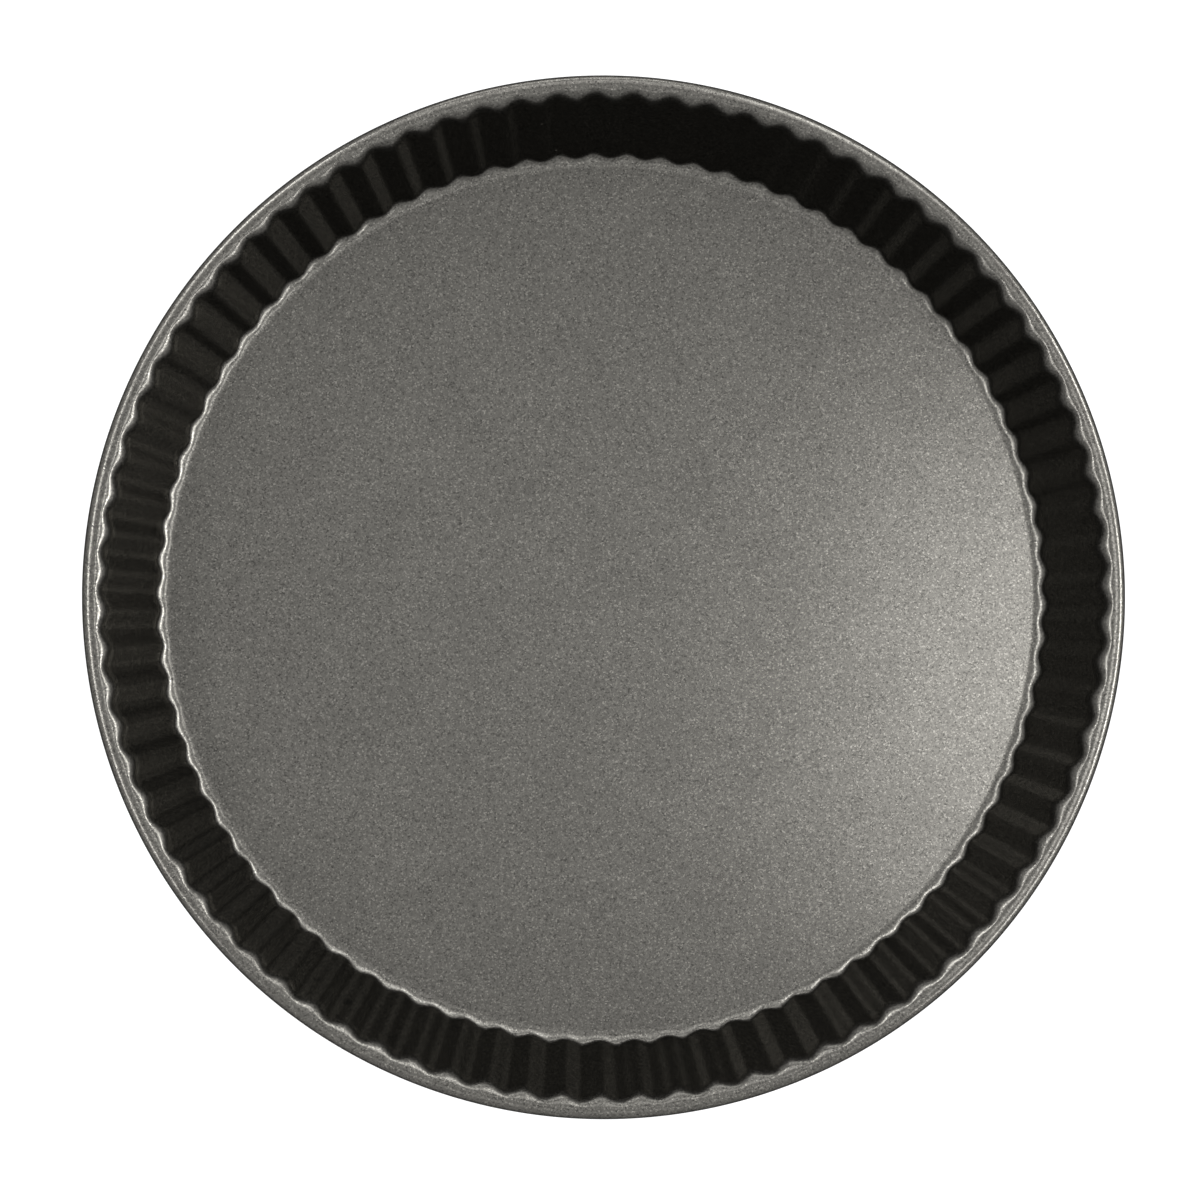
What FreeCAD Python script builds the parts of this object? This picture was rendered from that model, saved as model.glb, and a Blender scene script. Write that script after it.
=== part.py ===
"""Fluted tart tin: a round baking tin pressed from one disc of coated steel sheet.

The floor is flat and fixed. A wall that leans outwards rises from it in flutes, with a rounded
corner at its foot and another at its lip, and ends in a narrow flat flange whose edge is rolled
over and under into a hollow curl. The tin stands on z = 0 with its axis on the z axis, and one
outward bulge of the wall lies on the x axis. Sizes are in millimetres and degrees.

A rounded corner is drawn as a parabola. Its reach on a side is how far along that side it ends
from the sharp corner that the two sides would make.
"""
import FreeCAD, Part
import math
import os

# Driving dimensions
RIM_DIAMETER = 300.0       # over the curl
HEIGHT = 30.0              # from the surface it stands on to the top of the flange
SHEET = 0.5                # thickness of the steel
FLUTES = 82                # outward bulges round the wall
LIP_DEPTH = 1.15           # of the flutes at the lip, from the ridges out to the bulges
FOOT_DEPTH = 1.0           # the same at the foot
WALL_LEAN = 21.8           # of the ridges from upright
FOOT_REACH = 2.05          # of the foot corner on a ridge, along the floor and up the wall
BULGE_LIP_REACH = (1.25, 4.0)    # of the lip corner on a bulge, over the flange and down the wall
RIDGE_LIP_REACH = (2.6, 5.0)     # the same on a ridge
FLANGE_FLAT = 0.85         # width of the flat flange at a bulge
CURL_RADIUS = 2.9          # outside the rolled edge
CURL_GAP = 0.4             # clearance from the end of the curl to the back of a bulge
CURL_ARCS = 5              # equal arcs that the curl's section is drawn with

# What follows from them. Foot and lip are where the sides of each corner would meet if sharp.
RISE = HEIGHT - SHEET      # from the floor to the top of the flange
CURL_CENTRE = (RIM_DIAMETER / 2 - CURL_RADIUS, HEIGHT - CURL_RADIUS)
BULGE_LIP = CURL_CENTRE[0] - FLANGE_FLAT - BULGE_LIP_REACH[0]
RIDGE_LIP = BULGE_LIP - LIP_DEPTH
RIDGE_FOOT = RIDGE_LIP - RISE * math.tan(math.radians(WALL_LEAN))
BULGE_FOOT = RIDGE_FOOT + FOOT_DEPTH
BULGE_LEAN = math.atan2(BULGE_LIP - BULGE_FOOT, RISE)
FLOOR_RADIUS = RIDGE_FOOT - FOOT_REACH

# A wavy ring has four poles to a flute: on the bulge, on a flank, on the ridge and on a flank.
# A uniform cubic curve runs inside its poles, so one gain brings its crests back to their depth
# and another brings the ring back to its radius.
WAVE = (1, 0, -1, 0)
WAVE_GAIN = 1.5
POLES = FLUTES * len(WAVE)
POLE_ANGLE = 2 * math.pi / POLES
RING_GAIN = 3 / (2 + math.cos(POLE_ANGLE))


def wall_section(foot, lip, lip_reach, depth):
    """Foot corner and lip corner of the wall on a bulge or a ridge, each as three control points.

    depth is how far the skin lies below the upper one. The foot corner starts on the floor's
    edge, which is one circle, so it is larger where the wall stands further out.
    """
    lean = math.atan2(lip - foot, RISE)
    shift = depth * math.tan((math.pi / 2 - lean) / 2)
    foot = (foot + shift, SHEET - depth)
    lip = (lip + shift, HEIGHT - depth)

    def up_the_wall(start, length):
        return (start[0] + length * math.sin(lean), start[1] + length * math.cos(lean))

    floor_edge = (FLOOR_RADIUS, foot[1])
    flange_edge = (lip[0] + lip_reach[0] - shift, lip[1])
    return (
        [floor_edge, foot, up_the_wall(foot, foot[0] - FLOOR_RADIUS)],
        [up_the_wall(lip, shift - lip_reach[1]), lip, flange_edge],
    )


def wavy_ring(bulge, ridge):
    """Poles of the closed curve that swings between two points (radius, height) of the section."""
    poles = []
    for i in range(POLES):
        share = (1 + WAVE_GAIN * WAVE[i % len(WAVE)]) / 2
        radius = RING_GAIN * (ridge[0] + share * (bulge[0] - ridge[0]))
        height = ridge[1] + share * (bulge[1] - ridge[1])
        angle = i * POLE_ANGLE
        poles.append(FreeCAD.Vector(radius * math.cos(angle), radius * math.sin(angle), height))
    return poles


def fluted_face(bulge_points, ridge_points):
    """Face right round the tin between its section on the bulges and its section on the ridges."""
    rows = [wavy_ring(bulge, ridge) for bulge, ridge in zip(bulge_points, ridge_points)]
    degree = len(rows) - 1
    surface = Part.BSplineSurface()
    surface.buildFromPolesMultsKnots(
        rows, [degree + 1, degree + 1], [1] * (POLES + 1), [0, 1], list(range(POLES + 1)),
        False, True, degree, 3)
    return surface.toShape()


def closed_edge(shape, point):
    """The closed edge of a shape that starts nearest to a point (radius, height)."""
    def miss(edge):
        start = edge.valueAt(edge.FirstParameter)
        return abs(math.hypot(start.x, start.y) - point[0]) + abs(start.z - point[1])
    return min((edge for edge in shape.Edges if edge.isClosed()), key=miss)


def pressed_skin(depth, curl_edge):
    """Floor, foot corner, wall, lip corner and flange of the skin that lies depth below the upper one."""
    bulge_foot, bulge_lip = wall_section(BULGE_FOOT, BULGE_LIP, BULGE_LIP_REACH, depth)
    ridge_foot, ridge_lip = wall_section(RIDGE_FOOT, RIDGE_LIP, RIDGE_LIP_REACH, depth)
    foot = fluted_face(bulge_foot, ridge_foot)
    wall = fluted_face([bulge_foot[-1], bulge_lip[0]], [ridge_foot[-1], ridge_lip[0]])
    lip = fluted_face(bulge_lip, ridge_lip)
    floor = Part.Face(Part.Wire(closed_edge(foot, bulge_foot[0])))
    flange_rings = [Part.Wire(curl_edge), Part.Wire(closed_edge(lip, bulge_lip[-1]))]
    flange = Part.makeFace(flange_rings, "Part::FaceMakerBullseye")
    return [floor, foot, wall, lip, flange]


def curl():
    """The rolled edge: over, down and under, until it comes within its gap of a bulge's back."""
    from_wall = (CURL_CENTRE[0] - BULGE_LIP) * math.cos(BULGE_LEAN) + CURL_RADIUS * math.sin(BULGE_LEAN)
    room = from_wall - SHEET - CURL_GAP
    top = math.pi / 2
    turn = top + math.pi + BULGE_LEAN - math.acos(min(1, room / CURL_RADIUS))
    bends = [top - turn * i / CURL_ARCS for i in range(CURL_ARCS + 1)]

    def at(radius, angle):
        across = CURL_CENTRE[0] + radius * math.cos(angle)
        return FreeCAD.Vector(across, 0, CURL_CENTRE[1] + radius * math.sin(angle))

    def arcs(radius, angles):
        return [
            Part.Arc(at(radius, a), at(radius, (a + b) / 2), at(radius, b)).toShape()
            for a, b in zip(angles, angles[1:])
        ]

    inside = CURL_RADIUS - SHEET
    cut_edge = Part.makeLine(at(CURL_RADIUS, bends[-1]), at(inside, bends[-1]))
    section = Part.Wire(arcs(CURL_RADIUS, bends) + [cut_edge] + arcs(inside, bends[::-1]))
    return section.revolve(FreeCAD.Vector(), FreeCAD.Vector(0, 0, 1), 360)


def tart_tin():
    """The whole tin, one solid of sheet closed between its upper and its under skin."""
    rim = curl()
    faces = list(rim.Faces)
    for depth in (0, SHEET):
        flange_edge = closed_edge(rim, (CURL_CENTRE[0], HEIGHT - depth))
        faces += pressed_skin(depth, flange_edge)
    shell = Part.Shell(faces)
    shell.sewShape()
    return Part.Solid(shell)


os.makedirs("parts", exist_ok=True)
tart_tin().exportStep("parts/tart_tin.step")
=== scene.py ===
"""Looks of a round fluted tart tin, pressed from thin steel sheet with a dark sprayed coating.

The sheet is modelled as one skin: its section is drawn twice, on a ridge and on a bulge of the
wall, swept right round the axis, waved between the two, and given its thickness. All lengths are
in metres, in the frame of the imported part.
"""
import math

import bmesh
import bpy
from mathutils import Matrix, Vector


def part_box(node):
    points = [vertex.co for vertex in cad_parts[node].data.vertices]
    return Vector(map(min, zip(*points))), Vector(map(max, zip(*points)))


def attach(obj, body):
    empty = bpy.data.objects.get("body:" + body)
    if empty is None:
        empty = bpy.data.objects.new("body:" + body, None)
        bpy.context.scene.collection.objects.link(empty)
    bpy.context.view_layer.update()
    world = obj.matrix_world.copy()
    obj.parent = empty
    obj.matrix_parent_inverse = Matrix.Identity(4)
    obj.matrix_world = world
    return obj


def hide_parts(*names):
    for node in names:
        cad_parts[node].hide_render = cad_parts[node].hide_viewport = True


bl_info = {
    "name": "Fluted tart tin",
    "version": (1, 0, 0),
    "blender": (4, 5, 0),
    "location": "View3D > Sidebar > Tart Tin",
    "description": "Presses a fluted tart tin, sprays its coating and sets up the studio",
    "category": "Add Mesh",
}

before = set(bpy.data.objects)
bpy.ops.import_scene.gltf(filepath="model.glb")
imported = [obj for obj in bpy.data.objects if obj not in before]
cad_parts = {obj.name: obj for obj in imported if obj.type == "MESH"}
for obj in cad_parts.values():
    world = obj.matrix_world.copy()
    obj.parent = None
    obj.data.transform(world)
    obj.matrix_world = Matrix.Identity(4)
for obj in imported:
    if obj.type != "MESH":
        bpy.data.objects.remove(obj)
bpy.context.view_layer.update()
TIN_LOW, TIN_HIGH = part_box("tart_tin")

MM = 0.001

STEPS_PER_FLUTE = 14       # columns of faces to one wave of the wall
CORNER_SEGMENTS = 7        # rows of faces in the foot corner and in the lip corner
CURL_SEGMENTS = 18         # rows of faces round the rolled edge
SHARP_ANGLE = math.radians(40)
FLOOR_ROW = 0.6            # radius of the floor's inner row of faces, as a share of the floor's
SAME_POINT = 0.001 * MM    # points of a section that are nearer than this are one
SAME_SEAM = 0.01 * MM      # the same for the seam where the sweep closes

# Brightness of a fleck against the share of flecks that are darker, and the gain that makes it
# 1 on average.
FLECK_CURVE = ((0, 0.20), (0.20, 0.40), (0.76, 0.54), (0.93, 0.70), (1, 0.92))
FLECK_GAIN = 2.05

# Upward share of a face's normal below which it counts as steep and gets the full painted shade,
# and above which as flat and gets none.
STEEP_NORMAL = 0.4
FLAT_NORMAL = 0.85

# Noise levels that bound the cloudy patches, and how fine the noise is.
CLOUD_LEVELS = (0.3, 0.7)
CLOUD_DETAIL = 3.0

# Small marks in the coating: place and radius in millimetres, and brightness against the film
# round them. Two are specks of dust, one is a painted glint on a fleck, two are rubbed smudges.
MARKS_AND_PAINTED_GLINT = (
    ((-16.3, 133.7, 4.7), 0.35, 13.0),
    ((-20.7, 137.8, 18.7), 0.4, 6.0),
    # Painted glint on one fleck.
    ((-67.7, -112.0, 0.6), 0.35, 2.0),
    ((-83.0, -112.1, 17.2), 1.4, 0.65),
    ((-74.0, -118.5, 17.9), 2.0, 0.6),
)

# The camera looks straight down, nearly on the tin's axis.
CAMERA_ASIDE = (-23.8 * MM, -11.3 * MM)
CAMERA_TILT = (0.0349, 0.0002)
CAMERA_SHIFT = (0.0042, 0.0302)
CAMERA_TURN = math.radians(0.73)

# Each soft box: azimuth, slant from straight above, width and depth in metres, and radiance.
SOFT_BOXES = {
    "soft_box_right_high": (-5, 21, 0.5, 0.36, 3.1),
    "soft_box_right": (-5, 60, 0.7, 0.2, 15.5),
    "soft_box_right_back": (25, 62, 0.5, 0.24, 10.0),
    "soft_box_right_front": (-34, 54, 0.5, 0.24, 6.2),
    "soft_box_left": (178, 44, 0.5, 0.2, 8.0),
    "soft_box_left_front": (205, 46, 0.5, 0.24, 5.0),
    "soft_box_left_back": (130, 56, 0.5, 0.24, 9.0),
    "soft_box_left_side": (155, 50, 0.4, 0.24, 4.3),
    "soft_box_back_high": (60, 52, 0.6, 0.24, 3.3),
    "soft_box_back_low": (62, 64, 0.6, 0.24, 4.1),
    "soft_box_back": (95, 80, 0.8, 0.24, 3.0),
    "soft_box_back_wide": (90, 45, 1.2, 0.8, 0.8),
    "soft_box_front": (270, 34, 0.9, 0.3, 0.5),
    "soft_box_above": (0, 0, 0.6, 0.6, 0.22),
}


def millimetres(name, description, value):
    """A length property whose default is given in millimetres."""
    return bpy.props.FloatProperty(
        name=name, description=description, default=value * MM, min=0, precision=5,
        subtype="DISTANCE", unit="LENGTH",
    )


def linear(hex_colour):
    """Linear red, green and blue of an sRGB colour written as #rrggbb."""
    channels = [int(hex_colour[i:i + 2], 16) / 255 for i in (1, 3, 5)]
    return [c / 12.92 if c <= 0.04045 else ((c + 0.055) / 1.055) ** 2.4 for c in channels]


def colour(name, description, hex_colour):
    """A colour property whose default is an sRGB hex value."""
    return bpy.props.FloatVectorProperty(
        name=name, description=description, default=linear(hex_colour), min=0, max=1,
        subtype="COLOR", size=3,
    )


class TinSizes(bpy.types.PropertyGroup):
    """Sizes of the pressed sheet."""

    rim_diameter: millimetres(
        "Rim diameter", "Over the rolled edge", (TIN_HIGH.x - TIN_LOW.x) / MM)
    height: millimetres(
        "Height", "From the surface the tin stands on to the flange", TIN_HIGH.z / MM)
    sheet: millimetres("Sheet", "Thickness of the steel", 0.5)
    flutes: bpy.props.IntProperty(
        name="Flutes", description="Outward bulges round the wall", default=82, min=8)
    lip_depth: millimetres("Lip depth", "Depth of the flutes at the lip", 1.15)
    foot_depth: millimetres("Foot depth", "Depth of the flutes at the foot", 1.0)
    wall_lean: bpy.props.FloatProperty(
        name="Wall lean", description="Lean of the ridges from upright",
        default=math.radians(21.8), subtype="ANGLE", unit="ROTATION")
    foot_reach: millimetres("Foot reach", "Reach of the foot corner on a ridge", 2.05)
    bulge_lip_over: millimetres("Bulge lip over", "Lip corner of a bulge, over the flange", 1.25)
    bulge_lip_down: millimetres("Bulge lip down", "Lip corner of a bulge, down the wall", 4.0)
    ridge_lip_over: millimetres("Ridge lip over", "Lip corner of a ridge, over the flange", 2.6)
    ridge_lip_down: millimetres("Ridge lip down", "Lip corner of a ridge, down the wall", 5.0)
    flange_flat: millimetres("Flange flat", "Width of the flat flange at a bulge", 0.85)
    curl_radius: millimetres("Curl radius", "Outer radius of the rolled edge", 2.9)
    curl_gap: millimetres("Curl gap", "From the curl's end to the back of a bulge", 0.4)
    hold: millimetres("Hold", "Width of the rows of faces that keep a flat stretch flat", 0.5)


class CoatingLook(bpy.types.PropertyGroup):
    """Colours and sizes of the sprayed coating."""

    film: colour("Film", "Colour of the baked film", "#76746f")
    edge: colour("Edge", "Colour of the film seen at a low angle", "#1e1d1c")
    fleck_size: millimetres("Fleck size", "Width of one metal fleck", 0.4)
    cloud_size: millimetres("Cloud size", "Width of the patches where the spray lies thicker", 24)
    cloud_share: bpy.props.FloatProperty(
        name="Cloud share", description="How much brighter or darker such a patch is",
        default=0.05, min=0, max=1, subtype="FACTOR")
    # Painted shade: the share of the film's brightness that a steep face keeps.
    steep_painted_shade: bpy.props.FloatProperty(
        name="Steep painted shade", description="Share of the film's brightness that a steep face keeps, as painted shade",
        default=0.26, min=0, max=1, subtype="FACTOR")
    roughness: bpy.props.FloatProperty(
        name="Roughness", description="Roughness of the flecked layer",
        default=0.27, min=0, max=1, subtype="FACTOR")
    gloss: bpy.props.FloatProperty(
        name="Gloss", description="Strength of the clear skin over the flecks",
        default=0.35, min=0, max=1, subtype="FACTOR")
    gloss_ior: bpy.props.FloatProperty(
        name="Gloss IOR", description="Refractive index of the clear skin", default=1.35, min=1)
    gloss_roughness: bpy.props.FloatProperty(
        name="Gloss roughness", description="Roughness of the clear skin",
        default=0.2, min=0, max=1, subtype="FACTOR")


class StudioSetup(bpy.types.PropertyGroup):
    """Camera and lights of the studio."""

    camera_height: millimetres("Camera height", "Above the floor", 600)
    lens: bpy.props.FloatProperty(
        name="Lens", description="Focal length in millimetres", default=59.826, min=1)
    light_distance: millimetres("Light distance", "From the tin to each soft box", 1500)
    sky: bpy.props.FloatProperty(
        name="Sky", description="Strength of the plain light from all round", default=0.55, min=0)
    paper_size: millimetres("Paper size", "Half the width of the paper", 3000)
    paper_drop: millimetres("Paper drop", "Gap between the paper and the tin's flat foot", 0.1)
    paper: colour("Paper", "Colour of the paper's dull share", "#aaaaaa")
    paper_lift: bpy.props.FloatProperty(
        name="Paper lift", description="How far the paper is lifted to white where it is seen",
        default=0.8, min=0)
    mirrored: bpy.props.FloatProperty(
        name="Mirrored", description="Share of the background's white that the coating mirrors",
        default=0.08, min=0, max=1, subtype="FACTOR")


def wire(points):
    """A bmesh that holds one open line through the points, and its vertices in order."""
    bm = bmesh.new()
    verts = [bm.verts.new(point) for point in points]
    for pair in zip(verts, verts[1:]):
        bm.edges.new(pair)
    return bm, verts


def along(bm):
    """The vertices of an open line in order, from the one nearest to the axis."""
    ordered = [min(bm.verts, key=lambda vert: vert.co.x)]
    while len(ordered) < len(bm.verts):
        beside = [edge.other_vert(ordered[-1]) for edge in ordered[-1].link_edges]
        ordered.append(next(vert for vert in beside if vert not in ordered[-2:]))
    return ordered


def section(sizes, foot, lip, over, down, floor_radius, curl_turn):
    """Section of the upper skin from the axis to the end of the curl, in the XZ plane.

    foot and lip are the radii at which the wall would meet the floor and the flange if both
    corners were sharp. over and down are how far the lip's corner reaches on each side.
    """
    top = sizes.height
    curl_x = sizes.rim_diameter / 2 - sizes.curl_radius
    axis = Vector((0, 0, sizes.sheet))
    sharp_foot = Vector((foot, 0, sizes.sheet))
    sharp_lip = Vector((lip, 0, top))
    up = (sharp_lip - sharp_foot).normalized()
    floor_edge = Vector((floor_radius, 0, sizes.sheet))
    foot_end = sharp_foot + up * (foot - floor_radius)
    lip_start = sharp_lip - up * down
    flange_edge = Vector((lip + over, 0, top))
    hold_out = Vector((sizes.hold, 0, 0))
    hold_up = up * sizes.hold
    points = [
        axis, axis.lerp(floor_edge, FLOOR_ROW), floor_edge - hold_out, floor_edge,
        sharp_foot, foot_end, foot_end + hold_up,
        lip_start - hold_up, lip_start, sharp_lip, flange_edge, Vector((curl_x, 0, top)),
    ]
    bm, verts = wire(points)
    corners = [verts[points.index(sharp_foot)], verts[points.index(sharp_lip)]]
    bmesh.ops.bevel(
        bm, geom=corners, offset=100, offset_type="PERCENT",
        segments=CORNER_SEGMENTS, profile=0.5, affect="VERTICES", material=-1)
    bmesh.ops.remove_doubles(bm, verts=bm.verts, dist=SAME_POINT)
    outermost = max(bm.verts, key=lambda vert: vert.co.x)
    bmesh.ops.spin(
        bm, geom=[outermost], cent=(curl_x, 0, top - sizes.curl_radius), axis=(0, 1, 0),
        angle=curl_turn, steps=CURL_SEGMENTS, use_merge=False)
    return bm


def pressed_tin(sizes):
    """Mesh of the whole tin."""
    rise = sizes.height - sizes.sheet
    curl_x = sizes.rim_diameter / 2 - sizes.curl_radius
    bulge_lip = curl_x - sizes.flange_flat - sizes.bulge_lip_over
    ridge_lip = bulge_lip - sizes.lip_depth
    ridge_foot = ridge_lip - rise * math.tan(sizes.wall_lean)
    bulge_foot = ridge_foot + sizes.foot_depth
    floor_radius = ridge_foot - sizes.foot_reach
    bulge_lean = math.atan2(bulge_lip - bulge_foot, rise)

    # The curl rolls on until its end comes within its gap of the back of a bulge.
    from_wall = (
        (curl_x - bulge_lip) * math.cos(bulge_lean) + sizes.curl_radius * math.sin(bulge_lean))
    room = from_wall - sizes.sheet - sizes.curl_gap
    curl_turn = 1.5 * math.pi + bulge_lean - math.acos(min(1, room / sizes.curl_radius))

    bm = section(sizes, ridge_foot, ridge_lip, sizes.ridge_lip_over, sizes.ridge_lip_down,
                 floor_radius, curl_turn)
    bulge = section(sizes, bulge_foot, bulge_lip, sizes.bulge_lip_over, sizes.bulge_lip_down,
                    floor_radius, curl_turn)
    outwards = bm.verts.layers.float.new("outwards")
    upwards = bm.verts.layers.float.new("upwards")
    for on_ridge, on_bulge in zip(along(bm), along(bulge)):
        step = on_bulge.co - on_ridge.co
        on_ridge[outwards] = step.x
        on_ridge[upwards] = step.z
    bulge.free()

    bmesh.ops.spin(
        bm, geom=bm.verts[:] + bm.edges[:], cent=(0, 0, 0), axis=(0, 0, 1),
        angle=2 * math.pi, steps=sizes.flutes * STEPS_PER_FLUTE, use_merge=True)
    bmesh.ops.remove_doubles(bm, verts=bm.verts, dist=SAME_SEAM)
    for vert in bm.verts:
        share = (1 + math.cos(sizes.flutes * math.atan2(vert.co.y, vert.co.x))) / 2
        out = Vector((vert.co.x, vert.co.y, 0)).normalized()
        vert.co += out * vert[outwards] * share
        vert.co.z += vert[upwards] * share

    bmesh.ops.recalc_face_normals(bm, faces=bm.faces)
    bm.faces.ensure_lookup_table()
    middle = min(bm.faces, key=lambda face: face.calc_center_median().xy.length)
    if middle.normal.z < 0:
        bmesh.ops.reverse_faces(bm, faces=bm.faces)
    bmesh.ops.solidify(bm, geom=bm.faces[:], thickness=sizes.sheet)
    for face in bm.faces:
        face.smooth = True
    for edge in bm.edges:
        edge.smooth = edge.calc_face_angle(0) < SHARP_ANGLE
    mesh = bpy.data.meshes.new("tart_tin_pressing")
    bm.to_mesh(mesh)
    bm.free()
    return mesh


def node(tree, kind, inputs=None, **settings):
    """Adds a node with its settings. An input is linked if it is given a socket, else set."""
    made = tree.nodes.new(kind)
    for name, value in settings.items():
        setattr(made, name, value)
    for name, value in (inputs or {}).items():
        if isinstance(value, bpy.types.NodeSocket):
            tree.links.new(value, made.inputs[name])
        else:
            made.inputs[name].default_value = value
    return made


def new_material(name):
    """An empty node material and its tree."""
    material = bpy.data.materials.new(name)
    material.use_nodes = True
    material.node_tree.nodes.clear()
    return material, material.node_tree


def flecked_coating(look):
    """Sprayed and baked non-stick film, a dark binder full of fine metal flecks.

    The flecks lie nearly flat in the film, so it shines broadly like dull metal where it faces
    the light and goes dark where it turns away. Steep faces are also darkened with painted shade.
    """
    material, tree = new_material("sprayed_flecked_nonstick")
    surface = node(tree, "ShaderNodeTexCoord")
    place = surface.outputs["Object"]
    flecks = node(tree, "ShaderNodeTexVoronoi", {"Vector": place, "Scale": 1 / look.fleck_size})
    fleck = node(tree, "ShaderNodeSeparateColor", {"Color": flecks.outputs["Color"]})
    clouds = node(tree, "ShaderNodeTexNoise", {
        "Vector": place, "Scale": 1 / look.cloud_size, "Detail": CLOUD_DETAIL})

    # Most flecks are near the film's own grey, a few lie dark and a few catch the light.
    brightness = node(tree, "ShaderNodeFloatCurve", {"Value": fleck.outputs["Red"]})
    curve = brightness.mapping.curves[0]
    curve.points[0].location = FLECK_CURVE[0]
    curve.points[1].location = FLECK_CURVE[-1]
    for point in FLECK_CURVE[1:-1]:
        curve.points.new(*point)
    mottle = node(tree, "ShaderNodeMapRange", {
        "Value": clouds.outputs["Fac"], "From Min": CLOUD_LEVELS[0], "From Max": CLOUD_LEVELS[1],
        "To Min": 1 - look.cloud_share, "To Max": 1 + look.cloud_share})

    # Painted shade: the film's colour is darkened on steep faces, facing up or down alike, so the
    # walls come out dark.
    tilt = node(tree, "ShaderNodeSeparateXYZ", {0: surface.outputs["Normal"]})
    flatness = node(tree, "ShaderNodeMath", {0: tilt.outputs["Z"]}, operation="ABSOLUTE")
    painted_steep_shade = node(tree, "ShaderNodeMapRange", {
        "Value": flatness.outputs[0], "From Min": STEEP_NORMAL, "From Max": FLAT_NORMAL,
        "To Min": look.steep_painted_shade, "To Max": 1.0})
    level = brightness.outputs["Value"]
    for share in (FLECK_GAIN, mottle.outputs["Result"], painted_steep_shade.outputs["Result"]):
        level = node(tree, "ShaderNodeMath", {0: level, 1: share}, operation="MULTIPLY").outputs[0]
    # Dust specks, the painted glint and the smudges scale the film's brightness round their places.
    for spot, radius, against_film in MARKS_AND_PAINTED_GLINT:
        away = node(tree, "ShaderNodeVectorMath", {0: place, 1: [c * MM for c in spot]},
                    operation="DISTANCE")
        mark = node(tree, "ShaderNodeMapRange", {
            "Value": away.outputs["Value"], "From Min": radius * MM / 2, "From Max": radius * MM,
            "To Min": against_film, "To Max": 1.0})
        level = node(tree, "ShaderNodeMath", {0: level, 1: mark.outputs["Result"]},
                     operation="MULTIPLY").outputs[0]
    tone = node(tree, "ShaderNodeVectorMath", {0: look.film, "Scale": level},
                operation="SCALE")
    film = node(tree, "ShaderNodeBsdfPrincipled", {
        "Base Color": tone.outputs["Vector"], "Metallic": 1.0, "Roughness": look.roughness,
        "Specular Tint": (*look.edge, 1), "Coat Weight": look.gloss, "Coat IOR": look.gloss_ior,
        "Coat Roughness": look.gloss_roughness})
    node(tree, "ShaderNodeOutputMaterial", {"Surface": film.outputs["BSDF"]})
    return material


def background_share(tree, mirrored):
    """1 to camera and transmission rays, and mirrored to the rays that a shiny surface sends."""
    rays = node(tree, "ShaderNodeLightPath")
    glossy = node(tree, "ShaderNodeMath", {0: rays.outputs["Is Glossy Ray"], 1: mirrored},
                  operation="MULTIPLY")
    seen = node(tree, "ShaderNodeMath", {
        0: rays.outputs["Is Camera Ray"], 1: rays.outputs["Is Transmission Ray"]},
        operation="MAXIMUM")
    return node(tree, "ShaderNodeMath", {0: seen.outputs[0], 1: glossy.outputs[0]},
                operation="MAXIMUM").outputs[0]


def white_paper(studio):
    """Matt studio paper, which keeps a soft shadow and is lifted to white where it is seen."""
    material, tree = new_material("matt_white_paper")
    dull = node(tree, "ShaderNodeBsdfDiffuse", {"Color": (*studio.paper, 1)})
    lift = node(tree, "ShaderNodeMath", {
        0: background_share(tree, studio.mirrored), 1: studio.paper_lift}, operation="MULTIPLY")
    glow = node(tree, "ShaderNodeEmission", {
        "Color": (1, 1, 1, 1), "Strength": lift.outputs[0]})
    surface = node(tree, "ShaderNodeAddShader", {0: dull.outputs[0], 1: glow.outputs[0]})
    node(tree, "ShaderNodeOutputMaterial", {"Surface": surface.outputs[0]})
    return material


def soft_box(name, azimuth, slant, distance, width, depth, radiance):
    """A soft box that faces the tin. slant is its angle from straight above, in degrees."""
    around = math.radians(azimuth)
    down = math.radians(slant)
    direction = Vector((
        math.sin(down) * math.cos(around), math.sin(down) * math.sin(around), math.cos(down)))
    lamp = bpy.data.lights.new(name, "AREA")
    lamp.shape = "RECTANGLE"
    lamp.size = width
    lamp.size_y = depth
    lamp.energy = radiance * math.pi * width * depth
    box = bpy.data.objects.new(name, lamp)
    turn = direction.to_track_quat("Z", "Y").to_matrix().to_4x4()
    box.matrix_world = Matrix.Translation(direction * distance) @ turn
    box.visible_camera = False
    bpy.context.scene.collection.objects.link(box)
    return box


class MESH_OT_press_tart_tin(bpy.types.Operator):
    """Press the tin from its sheet and coat it"""

    bl_idname = "mesh.press_tart_tin"
    bl_label = "Press tart tin"

    def execute(self, context):
        tin = bpy.data.objects.new("pressed_tin", pressed_tin(context.scene.tin_sizes))
        context.scene.collection.objects.link(tin)
        tin.data.materials.append(flecked_coating(context.scene.tin_coating))
        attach(tin, "root")
        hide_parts("tart_tin")
        return {"FINISHED"}


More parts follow.
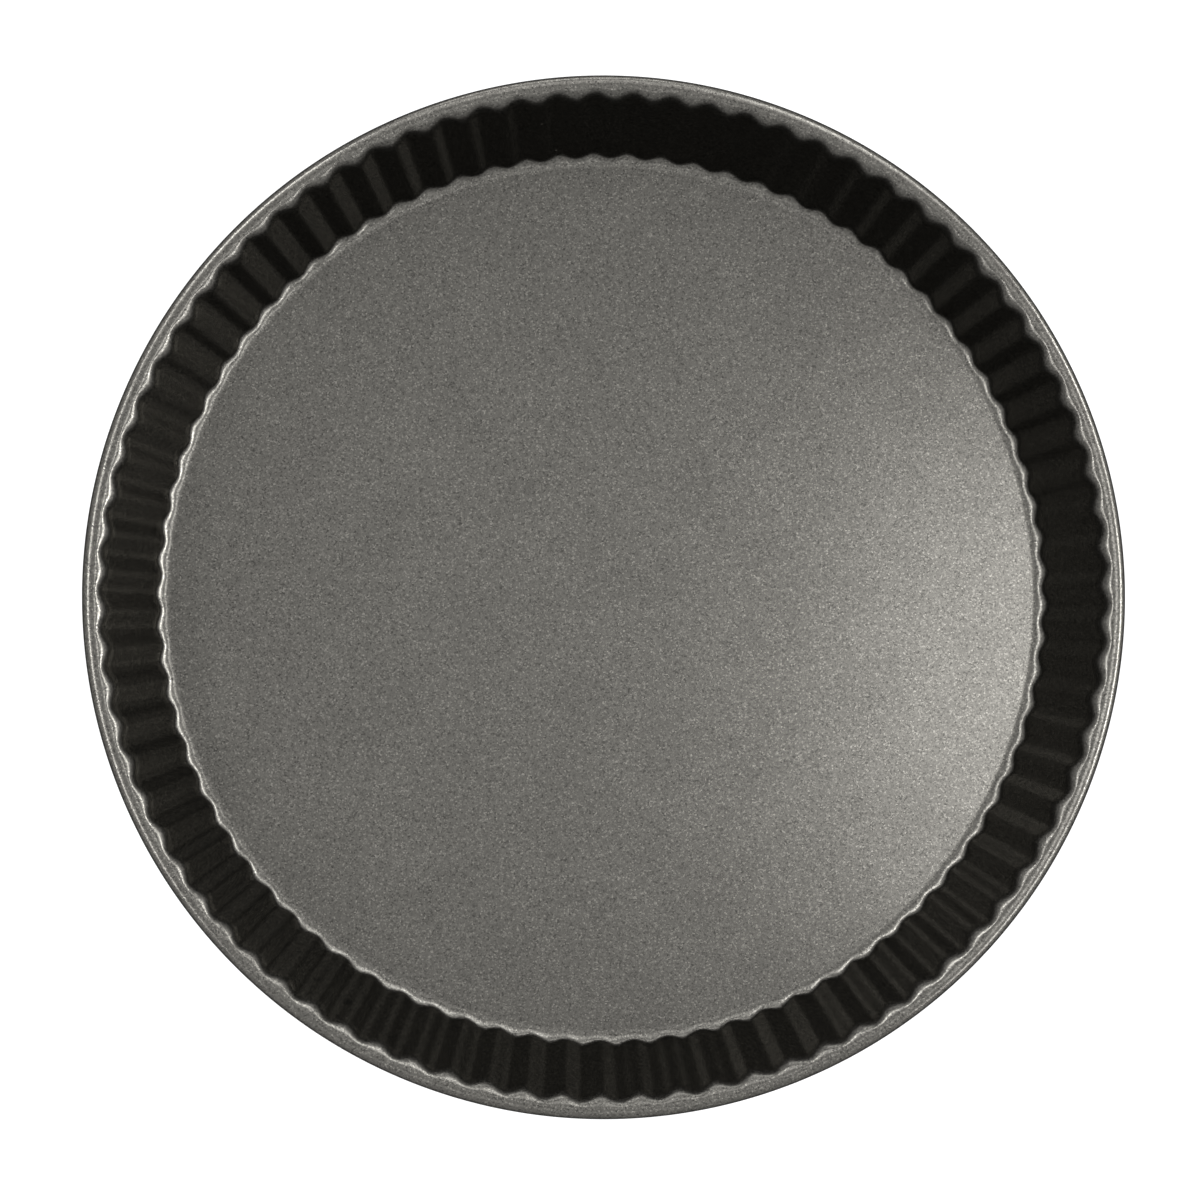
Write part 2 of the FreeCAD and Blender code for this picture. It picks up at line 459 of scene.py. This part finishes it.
class SCENE_OT_tart_tin_studio(bpy.types.Operator):
    """Lay the paper, hang the soft boxes and place the camera"""

    bl_idname = "scene.tart_tin_studio"
    bl_label = "Set up studio"

    def execute(self, context):
        studio = context.scene.tin_studio
        self.lay_paper(context.scene, studio)
        self.hang_lights(context.scene, studio)
        self.place_camera(context.scene, studio)
        context.scene.view_settings.view_transform = "Standard"
        return {"FINISHED"}

    def lay_paper(self, scene, studio):
        bm = bmesh.new()
        bmesh.ops.create_grid(bm, x_segments=1, y_segments=1, size=studio.paper_size)
        mesh = bpy.data.meshes.new("paper")
        bm.to_mesh(mesh)
        bm.free()
        mesh.materials.append(white_paper(studio))
        paper = bpy.data.objects.new("paper", mesh)
        paper.location.z = -studio.paper_drop
        scene.collection.objects.link(paper)

    def hang_lights(self, scene, studio):
        for name, (azimuth, slant, width, depth, radiance) in SOFT_BOXES.items():
            soft_box(name, azimuth, slant, studio.light_distance, width, depth, radiance)
        world = bpy.data.worlds.new("plain_sky")
        scene.world = world
        world.use_nodes = True
        tree = world.node_tree
        tree.nodes.clear()
        strength = node(tree, "ShaderNodeMapRange", {
            "Value": background_share(tree, studio.mirrored), "To Min": studio.sky, "To Max": 1.0})
        sky = node(tree, "ShaderNodeBackground", {
            "Color": (1, 1, 1, 1), "Strength": strength.outputs["Result"]})
        node(tree, "ShaderNodeOutputWorld", {"Surface": sky.outputs[0]})

    def place_camera(self, scene, studio):
        lens = bpy.data.cameras.new("camera")
        lens.lens = studio.lens
        lens.shift_x, lens.shift_y = CAMERA_SHIFT
        camera = bpy.data.objects.new("camera", lens)
        forward = Vector((math.tan(CAMERA_TILT[0]), math.tan(CAMERA_TILT[1]), -1)).normalized()
        right = forward.cross(Vector((0, 1, 0))).normalized()
        up = right.cross(forward)
        turn = Matrix((right, up, -forward)).transposed().to_4x4()
        place = Matrix.Translation((*CAMERA_ASIDE, studio.camera_height))
        camera.matrix_world = Matrix.Rotation(CAMERA_TURN, 4, "Z") @ place @ turn
        scene.collection.objects.link(camera)
        scene.camera = camera


class VIEW3D_PT_tart_tin(bpy.types.Panel):
    """Sizes, colours and buttons in the sidebar"""

    bl_label = "Tart Tin"
    bl_space_type = "VIEW_3D"
    bl_region_type = "UI"
    bl_category = "Tart Tin"

    def draw(self, context):
        layout = self.layout
        for group in (context.scene.tin_sizes, context.scene.tin_coating, context.scene.tin_studio):
            box = layout.box()
            for name in group.bl_rna.properties.keys():
                if name not in ("rna_type", "name"):
                    box.prop(group, name)
        layout.operator(MESH_OT_press_tart_tin.bl_idname)
        layout.operator(SCENE_OT_tart_tin_studio.bl_idname)


CLASSES = (
    TinSizes,
    CoatingLook,
    StudioSetup,
    MESH_OT_press_tart_tin,
    SCENE_OT_tart_tin_studio,
    VIEW3D_PT_tart_tin,
)


def register():
    """Registers the classes and hangs the settings on the scene."""
    for cls in CLASSES:
        bpy.utils.register_class(cls)
    bpy.types.Scene.tin_sizes = bpy.props.PointerProperty(type=TinSizes)
    bpy.types.Scene.tin_coating = bpy.props.PointerProperty(type=CoatingLook)
    bpy.types.Scene.tin_studio = bpy.props.PointerProperty(type=StudioSetup)


def unregister():
    """Takes the settings off the scene and unregisters the classes."""
    del bpy.types.Scene.tin_studio
    del bpy.types.Scene.tin_coating
    del bpy.types.Scene.tin_sizes
    for cls in reversed(CLASSES):
        bpy.utils.unregister_class(cls)


def main():
    """Builds the tin and its studio."""
    register()
    bpy.ops.mesh.press_tart_tin()
    bpy.ops.scene.tart_tin_studio()


if __name__ == "__main__":
    main()
